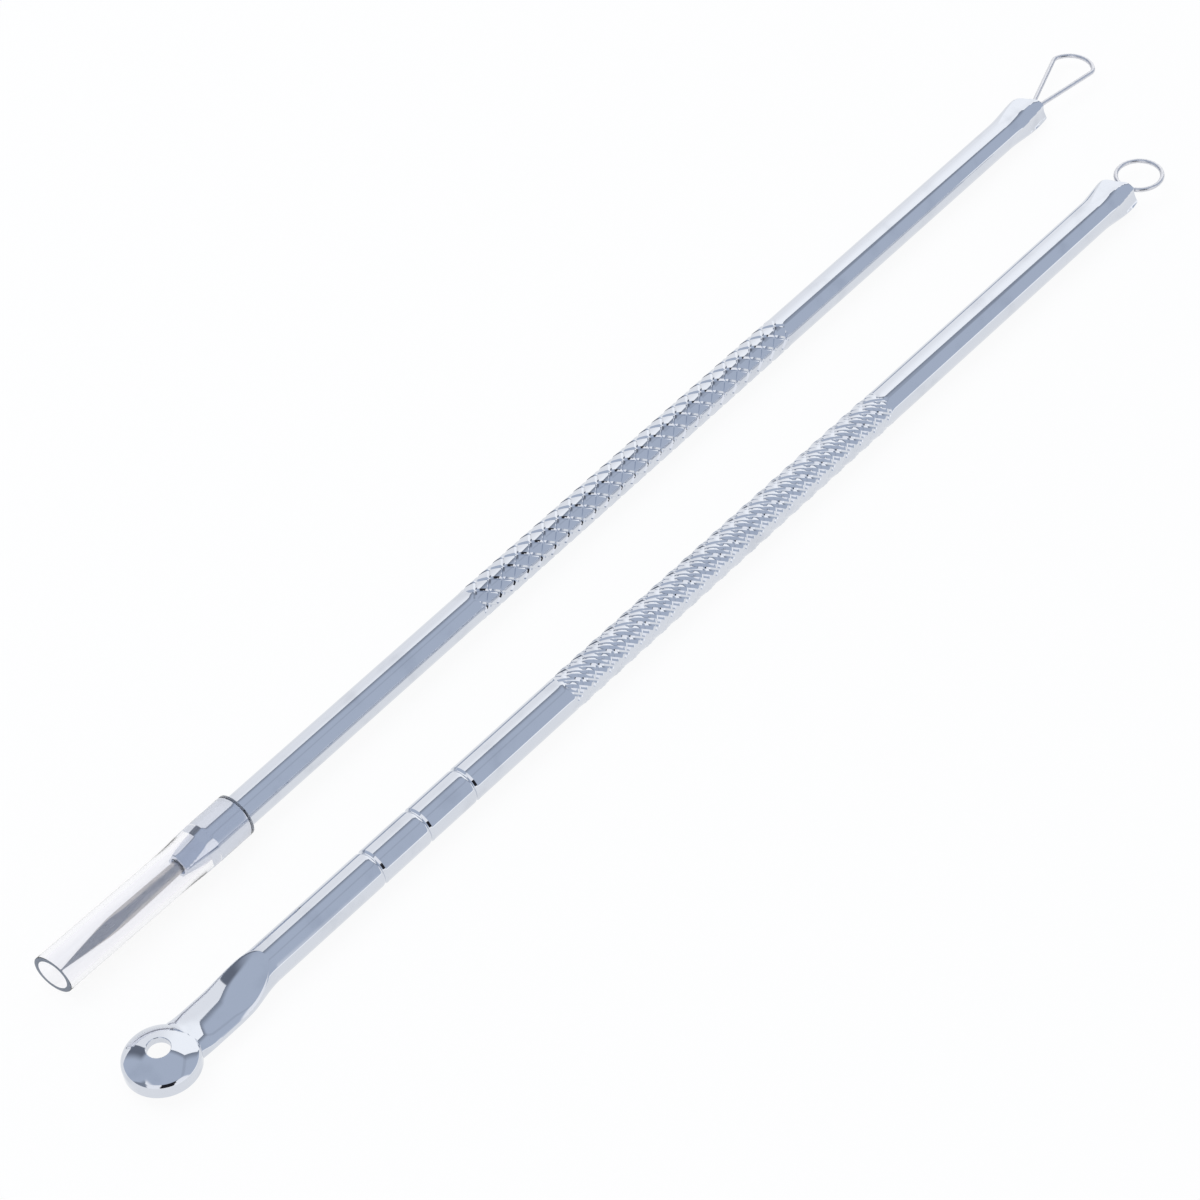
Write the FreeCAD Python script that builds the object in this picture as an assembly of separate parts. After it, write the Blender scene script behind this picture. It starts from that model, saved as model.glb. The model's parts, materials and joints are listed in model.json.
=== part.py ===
import FreeCAD, Part
import math
import os

from FreeCAD import Placement, Rotation, Vector

os.makedirs("parts", exist_ok=True)

# A set of two skin-care hand tools lying side by side, in millimetres and degrees.
# Each tool is made along X, which counts from its working end towards its wire loop.

# Lancet tool, from the mouth of its rod: a needle under a clear sleeve, and a teardrop loop
lancet_rod_diameter = 2.72
lancet_front_length = 31.3
lancet_knurl_length = 38.0
lancet_knurl_diameter = 2.78
lancet_knurl_pitch = 1.58
lancet_knurl_land_share = 0.8
lancet_rear_length = 30.2
lancet_crimp_length = 5.3

nose_length = 2.9
nose_mouth_diameter = 2.0
nose_flat_width = 1.64
nose_flat_spread_share = 1.04
nose_roll = 28.0

needle_shank_diameter = 1.0
needle_belly_diameter = 1.2
needle_reach = 11.65
needle_point_length = 5.0
needle_tip_diameter = 0.08
needle_root_depth = 6.0
needle_facet_count = 3
needle_facet_angle = 4.5
socket_flare_diameter = 1.36
socket_flare_depth = 0.4

sleeve_length = 18.2
sleeve_wall = 0.38
sleeve_bore = 2.5
sleeve_overhang = 0.5
sleeve_cut_angle = 6.0

teardrop_length = 7.7
teardrop_width = 4.1
teardrop_corner_radius = 0.75
teardrop_crown_radius = 2.4
teardrop_bend_radius = 0.8

# Spoon tool, from the middle of its cup: a pressed neck, three ring grooves and a round loop
spoon_rod_diameter = 3.0
spoon_front_length = 41.1
spoon_knurl_length = 38.9
spoon_knurl_diameter = 3.1
spoon_knurl_pitch = 1.77
spoon_knurl_land_share = 0
spoon_rear_length = 28.4
spoon_crimp_length = 4.7

cup_diameter = 5.6
cup_height = 2.08
cup_drop = 0.88
cup_rim_height = 0.75
cup_knuckle_radius = 0.6
cup_wall = 0.5
cup_hole_diameter = 1.8

neck_width = 3.9
neck_thickness = 2.2
neck_length = 7.2
shoulder_reach = 10.8
ramp_sections = 4
press_depth = 1.05
press_lead = 0.1
press_length = 6.2
press_crown_radius = 3.2

groove_first = 20.95
groove_pitch = 4.85
groove_count = 3
groove_width = 0.36
groove_depth = 0.12

ring_diameter = 4.24
ring_bend_radius = 0.5

# Shared by both tools: the knurl, the crimped end and the loop's wire
knurl_starts = 6
knurl_depth = 0.11

crimp_roll = 35.0
wing_span_share = 1.17
wing_height_share = 0.82
wing_place_share = 0.7
wing_tip_share = 0.88
dent_count = 4
dent_radius_share = 0.74
dent_depth_share = 0.36
dent_lead_share = 0.2

wire_diameter = 0.38
wire_sides = 6
wire_gap = 0.12
wire_root_depth = 4.0
loop_roll = 13.0

# How the tools lie, and the fits between their pieces
cup_spacing = 10.21
cup_lead = -0.07
splay = 0.79
crimp_clearance = 0.02
sleeve_clearance = 0.03
overrun = 1.0

along = Vector(1, 0, 0)
across = Vector(0, 1, 0)
upward = Vector(0, 0, 1)

lancet_radius = lancet_rod_diameter / 2
lancet_rod_length = lancet_front_length + lancet_knurl_length + lancet_rear_length + lancet_crimp_length
spoon_radius = spoon_rod_diameter / 2
spoon_tip = spoon_front_length + spoon_knurl_length + spoon_rear_length + spoon_crimp_length
spoon_floor = -spoon_knurl_diameter / 2
cup_floor = upward * -cup_drop
sleeve_mouth = -needle_reach - sleeve_overhang
sleeve_top = sleeve_mouth + sleeve_length
sleeve_seat_radius = lancet_radius + sleeve_clearance
leg_offset = (wire_diameter + wire_gap) / 2


def at(x):
    return Vector(x, 0, 0)


def around(angle):
    # The direction at an angle round a tool's axis, from straight up towards -Y
    return Rotation(along, angle).multVec(upward)


def bar(start, length, diameter, offset=Vector()):
    return Part.makeCylinder(diameter / 2, length, at(start) + offset, along)


def turned(profile):
    # A solid turned about X from an outline of (x, radius) points
    points = [Vector(x, 0, radius) for x, radius in profile]
    return Part.Face(Part.makePolygon(points + points[:1])).revolve(Vector(), along, 360)


def oval(centre, half_span, half_height, roll):
    # An elliptical section across the tool's axis, its long way rolled round that axis
    stretch = FreeCAD.Matrix()
    stretch.scale(1, half_span, half_height)
    section = Part.Wire(Part.Circle(Vector(), along, 1).toShape()).transformGeometry(stretch)
    section.Placement = Placement(centre, Rotation(along, roll))
    return section


def knurl_band(start, length, diameter, pitch, land_share):
    # Diamond tiles left between crossed helical grooves, made a half tile at a time and sewn together.
    # A tile has a flat land, or comes to a point where the land has no share of it.
    columns = 2 * knurl_starts
    rows = 2 * max(1, round(length / pitch))
    groove_floor = diameter / 2 - knurl_depth

    def crossing(row, column):
        return at(start + length * row / rows) + around(360 * column / columns) * groove_floor

    def half_tile(column, middle_row, tip_row):
        middle = crossing(middle_row, column)
        crest = middle + around(360 * column / columns) * knurl_depth
        low_left = crossing(middle_row, column - 1)
        low_tip = crossing(tip_row, column)
        low_right = crossing(middle_row, column + 1)
        if land_share == 0:
            return [[low_left, low_tip, crest], [crest, low_tip, low_right]], [low_left, crest]
        left, tip, right = [crest + (low - middle) * land_share for low in (low_left, low_tip, low_right)]
        outlines = [
            [left, tip, crest],
            [crest, tip, right],
            [low_left, low_tip, tip, left],
            [tip, low_tip, low_right, right],
        ]
        return outlines, [low_left, left, crest, right]

    outlines = []
    ends = {0: [], rows: []}
    for row in range(rows):
        for column in range(columns):
            points_up = (row + column) % 2 == 0
            middle_row = row if points_up else row + 1
            tip_row = row + 1 if points_up else row
            tile, middle_edge = half_tile(column, middle_row, tip_row)
            outlines.extend(tile)
            if middle_row in ends:
                ends[middle_row].extend(middle_edge)
    outlines.extend(ends.values())
    faces = [Part.Face(Part.makePolygon(outline + outline[:1])) for outline in outlines]
    return Part.Solid(Part.Shell(faces)).removeSplitter()


def loop_placement(tip):
    return Placement(at(tip), Rotation(along, -loop_roll))


def crimped_end(start, length, radius):
    # The rod's end, squeezed on its loop: two wings flare out and dents run in towards the tip
    tip = start + length
    wing_place = start + length * wing_place_share
    half_span = radius * wing_span_share
    half_height = radius * wing_height_share
    sections = [
        oval(at(start), radius, radius, crimp_roll),
        oval(at(wing_place), half_span, half_height, crimp_roll),
        oval(at(tip), half_span * wing_tip_share, half_height * wing_tip_share, crimp_roll),
    ]
    end = Part.makeLoft(sections, True)
    dent_radius = radius * dent_radius_share
    cutters = []
    for number in range(dent_count):
        outward = around(crimp_roll + 360 * (number + 0.5) / dent_count)
        first = at(start) + outward * (radius + dent_radius)
        slope = at(length) - outward * (radius * dent_depth_share)
        lead = slope * dent_lead_share
        cutters.append(Part.makeCylinder(dent_radius, (slope + lead * 2).Length, first - lead, slope))
    hole = wire_diameter + 2 * crimp_clearance
    depth = wire_root_depth + crimp_clearance
    for side in (-1, 1):
        leg_hole = bar(-depth, depth + overrun, hole, across * (side * leg_offset))
        leg_hole.Placement = loop_placement(tip).multiply(leg_hole.Placement)
        cutters.append(leg_hole)
    return end, cutters


def bend(centre, radius, first, last):
    # An arc of under half a turn about a centre, from one point to another
    middle = centre + ((first - centre) + (last - centre)).normalize() * radius
    return Part.Arc(first, middle, last).toShape()


def wire_loop(tip, bend_radius, corner, corner_radius, crown, crown_radius):
    # Legs in the rod's end swing out round a bend, run straight to a corner and close over a crown
    bend_centre = Vector(0, leg_offset + bend_radius, 0)
    gap = corner - bend_centre
    turn = math.atan2(gap.y, gap.x) + math.asin(min(1, (bend_radius + corner_radius) / gap.Length))
    sideways = Vector(-math.sin(turn), math.cos(turn), 0)
    bend_end = bend_centre - sideways * bend_radius
    corner_start = corner + sideways * corner_radius
    far = crown + along * crown_radius
    root = Vector(-wire_root_depth, leg_offset, 0)
    exit_point = Vector(0, leg_offset, 0)
    edges = [Part.LineSegment(root, exit_point).toShape()]
    edges.append(bend(bend_centre, bend_radius, exit_point, bend_end))
    if (corner_start - bend_end).Length > crimp_clearance:
        edges.append(Part.LineSegment(bend_end, corner_start).toShape())
    if crown == corner:
        edges.append(bend(corner, corner_radius, corner_start, far))
    else:
        corner_end = corner + (corner - crown).normalize() * corner_radius
        edges.append(bend(corner, corner_radius, corner_start, corner_end))
        edges.append(bend(crown, crown_radius, corner_end, far))
    edges += [edge.mirror(Vector(), across) for edge in reversed(edges)]
    path = Part.Wire(Part.__sortEdges__(edges))
    turns = [360 * (side + 0.5) / wire_sides for side in range(wire_sides)]
    corners = [root + around(angle) * (wire_diameter / 2) for angle in turns]
    section = Part.makePolygon(corners + corners[:1])
    loop = path.makePipeShell([section], True, False)
    loop.Placement = loop_placement(tip)
    return loop


def teardrop_loop():
    reach = teardrop_length - wire_diameter / 2
    half_width = (teardrop_width - wire_diameter) / 2
    crown = at(reach - teardrop_crown_radius)
    side = half_width - teardrop_corner_radius
    run = math.sqrt((teardrop_crown_radius - teardrop_corner_radius) ** 2 - side ** 2)
    corner = crown + Vector(run, side, 0)
    return wire_loop(lancet_rod_length, teardrop_bend_radius, corner, teardrop_corner_radius, crown,
                     teardrop_crown_radius)


def ring_loop():
    radius = (ring_diameter - wire_diameter) / 2
    reach = math.sqrt((radius + ring_bend_radius) ** 2 - (leg_offset + ring_bend_radius) ** 2)
    return wire_loop(spoon_tip, ring_bend_radius, at(reach), radius, at(reach), radius)


def lancet_nose():
    # The rod's mouth, tapered and pressed to four flats round the needle
    cone = turned([
        (0, 0),
        (0, nose_mouth_diameter / 2),
        (nose_length, lancet_radius),
        (nose_length, 0),
    ])
    squares = []
    for x, width in ((0, nose_flat_width), (nose_length, lancet_rod_diameter * nose_flat_spread_share)):
        corners = [at(x) + around(nose_roll + 45 + 90 * turn) * (width / math.sqrt(2)) for turn in range(4)]
        squares.append(Part.makePolygon(corners + corners[:1]))
    return cone.common(Part.makeLoft(squares, True, True))


def lancet_handle():
    knurl_start = lancet_front_length
    rear_start = knurl_start + lancet_knurl_length
    front = lancet_nose().fuse(bar(nose_length, knurl_start - nose_length, lancet_rod_diameter))
    socket_radius = needle_shank_diameter / 2 + crimp_clearance
    socket_end = needle_root_depth + crimp_clearance
    front = front.cut(turned([
        (-overrun, 0),
        (-overrun, socket_flare_diameter / 2),
        (0, socket_flare_diameter / 2),
        (socket_flare_depth, socket_radius),
        (socket_end, socket_radius),
        (socket_end, 0),
    ]))
    crimp_start = rear_start + lancet_rear_length
    end, cutters = crimped_end(crimp_start, lancet_crimp_length, lancet_radius)
    rear = bar(rear_start, lancet_rear_length, lancet_rod_diameter).fuse(end).cut(cutters)
    knurl = knurl_band(knurl_start, lancet_knurl_length, lancet_knurl_diameter, lancet_knurl_pitch,
                       lancet_knurl_land_share)
    return knurl.multiFuse([front, rear])


def lancet_needle():
    # A plump shank that swells to a belly, with flat facets ground to the point
    belly_radius = needle_belly_diameter / 2
    shank_radius = needle_shank_diameter / 2
    tip_radius = needle_tip_diameter / 2
    needle = turned([
        (needle_root_depth, 0),
        (needle_root_depth, shank_radius),
        (0, shank_radius),
        (needle_point_length - needle_reach, belly_radius),
        (-needle_reach, tip_radius),
        (-needle_reach, 0),
    ])
    for number in range(needle_facet_count):
        roll = Rotation(along, nose_roll + 360 * number / needle_facet_count)
        slope = Rotation(across, -needle_facet_angle)
        stone = Part.makeBox(needle_reach, needle_belly_diameter, needle_belly_diameter)
        stone.translate(upward * (tip_radius / 2) - across * belly_radius)
        stone.Placement = Placement(at(-needle_reach), roll.multiply(slope)).multiply(stone.Placement)
        needle = needle.cut(stone)
    return needle


def needle_sleeve():
    # A soft clear tube, stretched where it seats on the rod, with its mouth cut a little askew
    free_radius = sleeve_bore / 2
    tube = turned([
        (sleeve_mouth - overrun, free_radius),
        (0, free_radius),
        (nose_length, sleeve_seat_radius),
        (sleeve_top, sleeve_seat_radius),
        (sleeve_top, sleeve_seat_radius + sleeve_wall),
        (nose_length, sleeve_seat_radius + sleeve_wall),
        (0, free_radius + sleeve_wall),
        (sleeve_mouth - overrun, free_radius + sleeve_wall),
    ])
    reach = sleeve_bore + 2 * sleeve_wall
    knife = Part.makeBox(reach, 2 * reach, 2 * reach, Vector(-reach, -reach, -reach))
    knife.Placement = Placement(at(sleeve_mouth), Rotation(upward, sleeve_cut_angle))
    return tube.cut(knife)


def cup_dome():
    # A dished bowl turned upside down: an upright rim, a round knuckle and a wide crown
    radius = cup_diameter / 2
    rise = cup_height - cup_rim_height
    knuckle = Vector(radius - cup_knuckle_radius, 0, cup_rim_height)
    crown_radius = (knuckle.x ** 2 + rise ** 2 - cup_knuckle_radius ** 2) / (2 * (rise - cup_knuckle_radius))
    crown = upward * (cup_height - crown_radius)
    side = at(radius) + upward * cup_rim_height
    blend = knuckle + (knuckle - crown).normalize() * cup_knuckle_radius
    top = upward * cup_height
    edges = [
        Part.LineSegment(Vector(), at(radius)).toShape(),
        Part.LineSegment(at(radius), side).toShape(),
        bend(knuckle, cup_knuckle_radius, side, blend),
        bend(crown, crown_radius, blend, top),
        Part.LineSegment(top, Vector()).toShape(),
    ]
    bowl = Part.Face(Part.Wire(edges)).revolve(Vector(), upward, 360)
    bowl.translate(cup_floor)
    return bowl


def cup_hollow():
    # The bowl's inside, part of a ball that leaves the wall at the rim and under the crown
    depth = cup_height - cup_wall
    mouth = cup_diameter / 2 - cup_wall
    radius = (mouth ** 2 + depth ** 2) / (2 * depth)
    return Part.makeSphere(radius, cup_floor + upward * (depth - radius))


def eased_bar(reach, first, last):
    # A bar that eases from one oval at the shoulder to another at its reach, and runs on to the cup's middle.
    # An oval is its half width, its half height and the height of its middle.
    sections = []
    for step in range(ramp_sections + 1):
        ease = math.sin(math.pi / 2 * step / ramp_sections)
        x = shoulder_reach + (reach - shoulder_reach) * step / ramp_sections
        half_span, half_height, middle = [low + (high - low) * ease for low, high in zip(first, last)]
        sections.append(oval(at(x) + upward * middle, half_span, half_height, 0))
    flat = sections[-1].copy()
    flat.translate(at(-reach))
    return Part.makeLoft(sections, True).fuse(Part.makeLoft([sections[-1], flat], True, True))


def spoon_neck():
    # The rod pressed from above by a die with a hollow face: its sides bulge and its top sinks to a low crown
    half_height = neck_thickness / 2
    bulged = eased_bar(neck_length, (spoon_radius, spoon_radius, 0),
                       (neck_width / 2, half_height, half_height - spoon_radius))
    crown = press_crown_radius
    press = eased_bar(press_length, (crown, crown, spoon_radius + press_lead - crown),
                      (crown, crown, spoon_radius - press_depth - crown))
    return bulged.common(press)


def spoon_handle():
    knurl_start = spoon_front_length
    rear_start = knurl_start + spoon_knurl_length
    head = spoon_neck().fuse([
        cup_dome(),
        bar(shoulder_reach, knurl_start - shoulder_reach, spoon_rod_diameter),
    ])
    cutters = [
        cup_hollow(),
        Part.makeCylinder(cup_hole_diameter / 2, cup_height + overrun, cup_floor),
        Part.makeCylinder((cup_diameter - cup_wall) / 2, spoon_radius, cup_floor, -upward),
    ]
    for number in range(groove_count):
        place = groove_first + number * groove_pitch
        cutters.append(turned([
            (place - groove_width, spoon_radius + groove_depth),
            (place, spoon_radius - groove_depth),
            (place + groove_width, spoon_radius + groove_depth),
        ]))
    head = head.cut(cutters)
    crimp_start = rear_start + spoon_rear_length
    end, dents = crimped_end(crimp_start, spoon_crimp_length, spoon_radius)
    rear = bar(rear_start, spoon_rear_length, spoon_rod_diameter).fuse(end).cut(dents)
    knurl = knurl_band(knurl_start, spoon_knurl_length, spoon_knurl_diameter, spoon_knurl_pitch,
                       spoon_knurl_land_share)
    return knurl.multiFuse([head, rear])


# The lancet tool lies on the top of its sleeve and on the rod where the crimp begins
front_drop = sleeve_seat_radius + sleeve_wall
rear_rest = lancet_rod_length - lancet_crimp_length
lie_angle = math.degrees(math.atan2(front_drop - lancet_radius, rear_rest - sleeve_top))
lie = Placement(Vector(), Rotation(across, lie_angle))
lie.Base = -upward * lie.multVec(Vector(sleeve_top, 0, -front_drop)).z

# The spoon tool lies on its knurl, beside the lancet tool and splayed a little from it
cup_middle = Vector(sleeve_mouth - cup_lead, -cup_spacing, -spoon_floor)
beside = Placement(cup_middle, Rotation(upward, -splay))

pieces = {
    "lancet_handle": (lancet_handle(), lie),
    "lancet_needle": (lancet_needle(), lie),
    "needle_sleeve": (needle_sleeve(), lie),
    "teardrop_loop": (teardrop_loop(), lie),
    "spoon_handle": (spoon_handle(), beside),
    "ring_loop": (ring_loop(), beside),
}
for shape, place in pieces.values():
    shape.Placement = place.multiply(shape.Placement)

# The origin is under the middle of the set, on the surface that it lies on
box = Part.makeCompound([shape for shape, place in pieces.values()]).optimalBoundingBox(False, False)
origin = Vector(box.Center.x, box.Center.y, box.ZMin)
for name, (shape, place) in pieces.items():
    shape.translate(-origin)
    shape.exportStep("parts/" + name + ".step")
    print(name, shape.isValid(), len(shape.Solids), len(shape.Faces), round(shape.Volume, 3))

print("box", box.XLength, box.YLength, box.ZLength, "floor", box.ZMin)
print("cup middle", cup_middle - origin)
print("sleeve axis", lie.Rotation.multVec(-along), "origin", origin)
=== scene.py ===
import json
import math

import bmesh
import bpy
import numpy as np
from mathutils import Matrix, Vector


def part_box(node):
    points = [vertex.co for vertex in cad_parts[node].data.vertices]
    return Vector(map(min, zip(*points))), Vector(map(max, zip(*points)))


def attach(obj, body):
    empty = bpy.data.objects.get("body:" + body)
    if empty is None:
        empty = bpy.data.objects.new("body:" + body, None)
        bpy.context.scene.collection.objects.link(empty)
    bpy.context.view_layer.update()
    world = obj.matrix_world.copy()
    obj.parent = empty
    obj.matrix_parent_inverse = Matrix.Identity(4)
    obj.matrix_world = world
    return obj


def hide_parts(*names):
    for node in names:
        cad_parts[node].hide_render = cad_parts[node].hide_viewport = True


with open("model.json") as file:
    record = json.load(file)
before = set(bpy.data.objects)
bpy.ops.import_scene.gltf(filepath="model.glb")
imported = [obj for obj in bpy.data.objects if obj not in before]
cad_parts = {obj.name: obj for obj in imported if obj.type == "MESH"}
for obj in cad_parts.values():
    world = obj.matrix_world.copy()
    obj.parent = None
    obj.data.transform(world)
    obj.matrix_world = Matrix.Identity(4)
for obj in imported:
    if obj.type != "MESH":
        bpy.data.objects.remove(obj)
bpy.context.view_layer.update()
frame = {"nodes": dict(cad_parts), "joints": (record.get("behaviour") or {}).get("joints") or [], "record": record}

# Two skin-care hand tools on a white table: a lancet with a clear sleeve and a spoon, each with a wire loop.
# Each is made in millimetres along X, from its working end to its loop, and then put where the CAD has it.

scene = bpy.context.scene
scene.view_settings.view_transform = "Standard"
mounts = {mount["name"]: Vector(mount["pos_m"]) for mount in frame["record"]["mounts"]}
joints = {joint["name"]: joint for joint in frame["joints"]}
print("frame:", ", ".join(sorted(frame["nodes"])))

shot = {
    "eye": (-0.14537, -0.11331, 0.20802),
    "aim": (-0.00946, -0.00019, 0.0),
    "lens": 108,
    "sensor": 36,
}


def setCamera():
    camera = bpy.data.objects.new("camera", bpy.data.cameras.new("camera"))
    camera.data.lens = shot["lens"]
    camera.data.sensor_width = shot["sensor"]
    look = Vector(shot["aim"]) - Vector(shot["eye"])
    camera.location = shot["eye"]
    camera.rotation_euler = look.to_track_quat("-Z", "Y").to_euler()
    scene.collection.objects.link(camera)
    scene.camera = camera
    print("camera: distance", round(look.length, 4))


setCamera()


class Wire:
    # A node's output; arithmetic on it adds Math nodes to its tree
    def __init__(self, graph, socket):
        self.graph = graph
        self.socket = socket

    def __add__(self, other):
        return self.graph.maths("ADD", self, other)

    def __radd__(self, other):
        return self.graph.maths("ADD", other, self)

    def __sub__(self, other):
        return self.graph.maths("SUBTRACT", self, other)

    def __rsub__(self, other):
        return self.graph.maths("SUBTRACT", other, self)

    def __mul__(self, other):
        return self.graph.maths("MULTIPLY", self, other)

    def __rmul__(self, other):
        return self.graph.maths("MULTIPLY", other, self)

    def __truediv__(self, other):
        return self.graph.maths("DIVIDE", self, other)

    def __rtruediv__(self, other):
        return self.graph.maths("DIVIDE", other, self)

    def __pow__(self, other):
        return self.graph.maths("POWER", self, other)

    def __lt__(self, other):
        return self.graph.maths("LESS_THAN", self, other)

    def __gt__(self, other):
        return self.graph.maths("GREATER_THAN", self, other)

    def __abs__(self):
        return self.graph.maths("ABSOLUTE", self)


class Graph:
    def __init__(self, tree):
        self.tree = tree

    def node(self, kind, settings={}, inputs={}):
        made = self.tree.nodes.new(kind)
        for name, value in settings.items():
            setattr(made, name, value)
        for name, value in inputs.items():
            if isinstance(value, Wire):
                self.tree.links.new(value.socket, made.inputs[name])
            else:
                made.inputs[name].default_value = value
        return made

    def out(self, kind, settings={}, inputs={}, output=0):
        return Wire(self, self.node(kind, settings, inputs).outputs[output])

    def maths(self, operation, *values):
        return self.out("ShaderNodeMath", {"operation": operation}, dict(enumerate(values)))

    def parts(self, vector):
        split = self.node("ShaderNodeSeparateXYZ", {}, {0: vector})
        return [Wire(self, socket) for socket in split.outputs]

    def joined(self, x, y, z):
        return self.out("ShaderNodeCombineXYZ", {}, {0: x, 1: y, 2: z})

    def ramp(self, value, low, high, toLow=0.0, toHigh=1.0):
        # A smooth step between two values, flat outside them
        return self.out("ShaderNodeMapRange", {"interpolation_type": "SMOOTHSTEP"},
                        {0: value, 1: low, 2: high, 3: toLow, 4: toHigh})

    def blend(self, factor, first, second):
        return self.out("ShaderNodeMix", {"data_type": "RGBA"}, {0: factor, 6: first, 7: second}, 2)

    def noise(self, vector, scale, detail):
        return self.out("ShaderNodeTexNoise", {}, {"Vector": vector, "Scale": scale, "Detail": detail})

    def rays(self):
        return {socket.name: Wire(self, socket) for socket in self.node("ShaderNodeLightPath").outputs}


def colour(red, green, blue):
    return (red, green, blue, 1.0)


# Finishes

def newFinish(name):
    material = bpy.data.materials.new(name)
    material.use_nodes = True
    material.node_tree.nodes.clear()
    graph = Graph(material.node_tree)
    place = graph.out("ShaderNodeTexCoord", {}, {}, "Object")
    return material, graph, place


def stretched(graph, place, scale):
    return graph.out("ShaderNodeMapping", {}, {"Vector": place, "Scale": scale})


def bumped(graph, height, strength, distance):
    return graph.out("ShaderNodeBump", {}, {"Strength": strength, "Distance": distance, "Height": height})


def finishSurface(graph, inputs):
    shader = graph.out("ShaderNodeBsdfPrincipled", {}, inputs)
    graph.node("ShaderNodeOutputMaterial", {}, {"Surface": shader})


chromeFinish = {
    "tint": colour(0.66, 0.69, 0.75),
    "dull": colour(0.60, 0.63, 0.69),
    "rough": 0.035,
    "roughMore": 0.07,
    "cloudScale": 420,
    "stained": (0.5, 0.75),
    "drawnScale": (60, 5200, 5200),
    "drawnBump": 0.05,
    "drawnDepth": 0.000004,
}


def chromedSteel():
    material, graph, place = newFinish("chromedSteel")
    clouds = graph.noise(place, chromeFinish["cloudScale"], 4)
    drawn = graph.noise(stretched(graph, place, chromeFinish["drawnScale"]), 1, 3)
    stains = graph.ramp(clouds, *chromeFinish["stained"])
    bump = bumped(graph, drawn, chromeFinish["drawnBump"], chromeFinish["drawnDepth"])
    finishSurface(graph, {
        "Base Color": graph.blend(stains, chromeFinish["tint"], chromeFinish["dull"]),
        "Metallic": 1.0,
        "Roughness": chromeFinish["rough"] + chromeFinish["roughMore"] * clouds * drawn,
        "Normal": bump,
    })
    return material


needleFinish = {
    "steel": colour(0.57, 0.555, 0.55),
    "worn": colour(0.52, 0.51, 0.51),
    "wornPatches": (0.35, 0.7),
    "patchScale": 1500,
    "rough": 0.3,
    "roughSpread": 0.2,
    "grainScale": (400, 14000, 14000),
    "grainBump": 0.3,
    "grainDepth": 0.00001,
}


def satinSteel():
    material, graph, place = newFinish("satinSteel")
    grain = graph.noise(stretched(graph, place, needleFinish["grainScale"]), 1, 4)
    patches = graph.ramp(graph.noise(place, needleFinish["patchScale"], 3), *needleFinish["wornPatches"])
    finishSurface(graph, {
        "Base Color": graph.blend(patches, needleFinish["steel"], needleFinish["worn"]),
        "Metallic": 1.0,
        "Roughness": needleFinish["rough"] + (grain - 0.5) * needleFinish["roughSpread"],
        "Normal": bumped(graph, grain, needleFinish["grainBump"], needleFinish["grainDepth"]),
    })
    return material


wireFinish = {
    "steel": colour(0.68, 0.69, 0.73),
    "worn": colour(0.60, 0.61, 0.65),
    "wornPatches": (0.4, 0.7),
    "rough": 0.28,
    "roughSpread": 0.16,
    "grainScale": 5200,
}


def drawnWire():
    material, graph, place = newFinish("drawnWire")
    grain = graph.noise(place, wireFinish["grainScale"], 4)
    patches = graph.ramp(grain, *wireFinish["wornPatches"])
    finishSurface(graph, {
        "Base Color": graph.blend(patches, wireFinish["steel"], wireFinish["worn"]),
        "Metallic": 1.0,
        "Roughness": wireFinish["rough"] + (grain - 0.5) * wireFinish["roughSpread"],
    })
    return material


plasticFinish = {
    "tint": colour(0.965, 0.965, 0.985),
    "scuffed": colour(0.93, 0.93, 0.96),
    "hazy": (0.5, 0.8),
    "hazeScale": (120, 420, 420),
    "index": 1.46,
    "rough": 0.015,
    "hazeRough": 0.02,
    "rippleScale": (60, 300, 300),
    "rippleBump": 0.03,
    "rippleDepth": 0.00004,
    # Painted shade: the dark blue-grey laid over the mouth's cut face, with how much of it and where
    "cut": colour(0.20, 0.235, 0.295),
    "cutRough": 0.4,
    "cutShare": 0.85,
    "cutFacing": (-0.9, -0.97),
}


def clearPlastic():
    material, graph, place = newFinish("clearPlastic")
    haze = graph.noise(stretched(graph, place, plasticFinish["hazeScale"]), 1, 3)
    ripple = graph.noise(stretched(graph, place, plasticFinish["rippleScale"]), 1, 2)
    hazy = graph.ramp(haze, *plasticFinish["hazy"])
    clear = graph.out("ShaderNodeBsdfPrincipled", {}, {
        "Base Color": graph.blend(hazy, plasticFinish["tint"], plasticFinish["scuffed"]),
        "Roughness": plasticFinish["rough"] + plasticFinish["hazeRough"] * haze,
        "IOR": plasticFinish["index"],
        "Transmission Weight": 1.0,
        "Normal": bumped(graph, ripple, plasticFinish["rippleBump"], plasticFinish["rippleDepth"]),
    })
    # The mouth's cut face is matte, and its dark blue-grey colour is painted shade
    cut = graph.out("ShaderNodeBsdfPrincipled", {}, {
        "Base Color": plasticFinish["cut"],
        "Roughness": plasticFinish["cutRough"],
    })
    # The painted shade covers the faces that look along -X, at the mouth's end
    facing = graph.parts(graph.out("ShaderNodeTexCoord", {}, {}, "Normal"))[0]
    share = graph.ramp(facing, *plasticFinish["cutFacing"]) * plasticFinish["cutShare"]
    surface = graph.out("ShaderNodeMixShader", {}, {0: share, 1: clear, 2: cut})
    graph.node("ShaderNodeOutputMaterial", {}, {"Surface": surface})
    return material


chrome = chromedSteel()
needleSteel = satinSteel()
loopSteel = drawnWire()
clearSleeve = clearPlastic()
print("finishes: 4")


# Meshes

millimetre = 0.001
weldGap = 0.0008  # in millimetres, as all the tools' sizes are


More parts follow.
